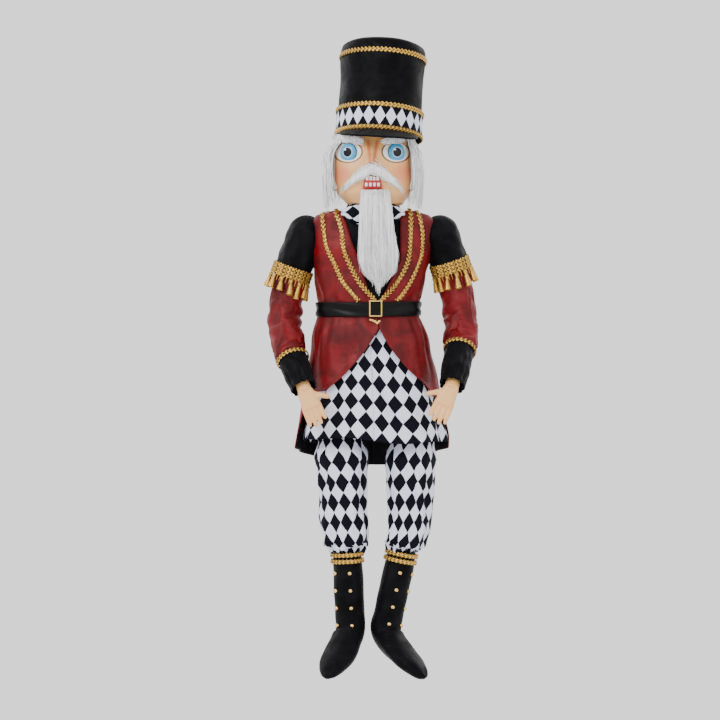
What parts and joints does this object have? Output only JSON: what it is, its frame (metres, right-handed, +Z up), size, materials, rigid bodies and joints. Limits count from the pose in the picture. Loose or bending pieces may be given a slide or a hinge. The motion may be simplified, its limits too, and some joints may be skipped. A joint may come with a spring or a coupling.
{
  "type": "posable soldier doll",
  "caption": "Hanging cloth soldier doll with moulded head and hands, tall hat, white fur beard, red tail coat, diamond-print tunic and trousers, and soft boots",
  "frame": {"origin": "middle of the waist, behind the belt buckle, where a stand's grip or a hand holds the doll", "axes": "+Z up along the hanging doll; it faces -Y; its own left arm is on +X"},
  "size_m": [0.3407, 0.1811, 0.9912],
  "materials": {
    "red_velvet": "crushed velvet, red",
    "harlequin": "printed white and navy diamonds",
    "black_velvet": "black velvet",
    "hat_velvet": "black velvet over a stiff crown",
    "satin": "black satin",
    "gold_braid": "woven metallic gold braid and fringe",
    "gold_metal": "polished",
    "skin": "moulded and painted",
    "eye": "printed iris under a clear dome",
    "teeth": "painted teeth on a red mouth",
    "fur": "white long-pile fur",
    "visor_patent": "black, glossy",
    "stuffing": "polyester fibre in a cloth bag",
    "button": "hidden joint disc"
  },
  "bodies": {
    "torso": {"torso_core": "stuffing", "shirt_bodice": "black_velvet", "trouser_seat": "harlequin", "tunic_skirt": "harlequin", "coat_bodice": "red_velvet", "left_coat_front": "red_velvet", "right_coat_front": "red_velvet", "left_coat_tail": "red_velvet", "right_coat_tail": "red_velvet", "lapel_braids": "gold_braid", "belt": "satin", "belt_buckle": "gold_metal", "bow_tie": "harlequin"},
    "neck": {"neck_plug": "button"},
    "head": {"head_shell": "skin", "left_eye": "eye", "right_eye": "eye", "teeth_plate": "teeth", "moustache": "fur", "beard": "fur", "eyebrows": "fur", "wig": "fur", "hat_crown": "hat_velvet", "hat_band": "harlequin", "hat_braids": "gold_braid", "hat_visor": "visor_patent"},
    "left_shoulder": {"left_shoulder_disc": "button"},
    "left_upper_arm": {"left_upper_arm_core": "stuffing", "left_shoulder_sleeve": "black_velvet", "left_fringe_band": "gold_braid", "left_fringe_tassels": "gold_braid", "left_red_sleeve": "red_velvet"},
    "left_forearm": {"left_forearm_core": "stuffing", "left_cuff": "black_velvet", "left_cuff_braid": "gold_braid"},
    "left_hand": {"left_hand": "skin"},
    "left_hip": {"left_hip_button": "button"},
    "left_thigh": {"left_thigh_core": "stuffing", "left_trouser_leg": "harlequin"},
    "left_shin": {"left_boot_shaft": "black_velvet", "left_boot_braids": "gold_braid", "left_boot_studs": "gold_metal"},
    "left_foot": {"left_boot_foot": "black_velvet"},
    "right_shoulder": {"right_shoulder_disc": "button"},
    "right_upper_arm": {"right_upper_arm_core": "stuffing", "right_shoulder_sleeve": "black_velvet", "right_fringe_band": "gold_braid", "right_fringe_tassels": "gold_braid", "right_red_sleeve": "red_velvet"},
    "right_forearm": {"right_forearm_core": "stuffing", "right_cuff": "black_velvet", "right_cuff_braid": "gold_braid"},
    "right_hand": {"right_hand": "skin"},
    "right_hip": {"right_hip_button": "button"},
    "right_thigh": {"right_thigh_core": "stuffing", "right_trouser_leg": "harlequin"},
    "right_shin": {"right_boot_shaft": "black_velvet", "right_boot_braids": "gold_braid", "right_boot_studs": "gold_metal"},
    "right_foot": {"right_boot_foot": "black_velvet"}
  },
  "joints": [
    {"name": "head_nod", "type": "hinge", "parent": "torso", "child": "neck", "pos_m": [0, 0.004, 0.14], "axis": [1, 0, 0], "range_deg": [-8, 8], "deforming": ["beard"]},
    {"name": "head_turn", "type": "hinge", "parent": "neck", "child": "head", "pos_m": [0, 0.004, 0.14], "axis": [0, 0, 1], "range_deg": [-40, 40]},
    {"name": "left_arm_swing", "type": "hinge", "parent": "torso", "child": "left_shoulder", "pos_m": [0.104, 0, 0.117], "axis": [-1, 0, 0], "range_deg": [-25, 90]},
    {"name": "left_arm_spread", "type": "hinge", "parent": "left_shoulder", "child": "left_upper_arm", "pos_m": [0.104, 0, 0.117], "axis": [0, -1, 0], "range_deg": [0, 65]},
    {"name": "left_elbow_bend", "type": "hinge", "parent": "left_upper_arm", "child": "left_forearm", "pos_m": [0.14654, 0.01784, -0.012], "axis": [-0.8544, 0.4724, -0.2164], "range_deg": [-53, 50], "deforming": ["left_red_sleeve"]},
    {"name": "left_wrist_turn", "type": "hinge", "parent": "left_forearm", "child": "left_hand", "pos_m": [0.11991, -0.0798, -0.11999], "axis": [-0.1799, -0.6597, -0.7297], "range_deg": [-60, 60]},
    {"name": "left_leg_swing", "type": "hinge", "parent": "torso", "child": "left_hip", "pos_m": [0.05, 0, -0.182], "axis": [-1, 0, 0], "range_deg": [-30, 75], "deforming": ["tunic_skirt", "left_coat_front", "left_coat_tail"]},
    {"name": "left_leg_spread", "type": "hinge", "parent": "left_hip", "child": "left_thigh", "pos_m": [0.05, 0, -0.182], "axis": [0, -1, 0], "range_deg": [0, 30], "deforming": ["left_trouser_leg"]},
    {"name": "left_knee_bend", "type": "hinge", "parent": "left_thigh", "child": "left_shin", "pos_m": [0.054, -0.004, -0.334], "axis": [1, 0, 0], "range_deg": [-2, 85]},
    {"name": "left_ankle_flop", "type": "hinge", "parent": "left_shin", "child": "left_foot", "pos_m": [0.02, 0, -0.494], "axis": [-1, 0, 0], "range_deg": [-15, 15]},
    {"name": "right_arm_swing", "type": "hinge", "parent": "torso", "child": "right_shoulder", "pos_m": [-0.104, 0, 0.117], "axis": [-1, 0, 0], "range_deg": [-25, 90]},
    {"name": "right_arm_spread", "type": "hinge", "parent": "right_shoulder", "child": "right_upper_arm", "pos_m": [-0.104, 0, 0.117], "axis": [0, 1, 0], "range_deg": [0, 65]},
    {"name": "right_elbow_bend", "type": "hinge", "parent": "right_upper_arm", "child": "right_forearm", "pos_m": [-0.15051, 0.00821, -0.0116], "axis": [-0.7148, -0.6652, 0.2161], "range_deg": [-51, 50], "deforming": ["right_red_sleeve"]},
    {"name": "right_wrist_turn", "type": "hinge", "parent": "right_forearm", "child": "right_hand", "pos_m": [-0.10486, -0.0772, -0.12352], "axis": [0.3084, -0.5771, -0.7562], "range_deg": [-60, 60]},
    {"name": "right_leg_swing", "type": "hinge", "parent": "torso", "child": "right_hip", "pos_m": [-0.04, 0, -0.182], "axis": [-1, 0, 0], "range_deg": [-30, 75], "deforming": ["right_coat_front", "right_coat_tail"]},
    {"name": "right_leg_spread", "type": "hinge", "parent": "right_hip", "child": "right_thigh", "pos_m": [-0.04, 0, -0.182], "axis": [0, 1, 0], "range_deg": [0, 30], "deforming": ["right_trouser_leg"]},
    {"name": "right_knee_bend", "type": "hinge", "parent": "right_thigh", "child": "right_shin", "pos_m": [-0.042, -0.004, -0.334], "axis": [1, 0, 0], "range_deg": [-2, 85]},
    {"name": "right_ankle_flop", "type": "hinge", "parent": "right_shin", "child": "right_foot", "pos_m": [-0.035, 0, -0.492], "axis": [-1, 0, 0], "range_deg": [-15, 15]}
  ]
}
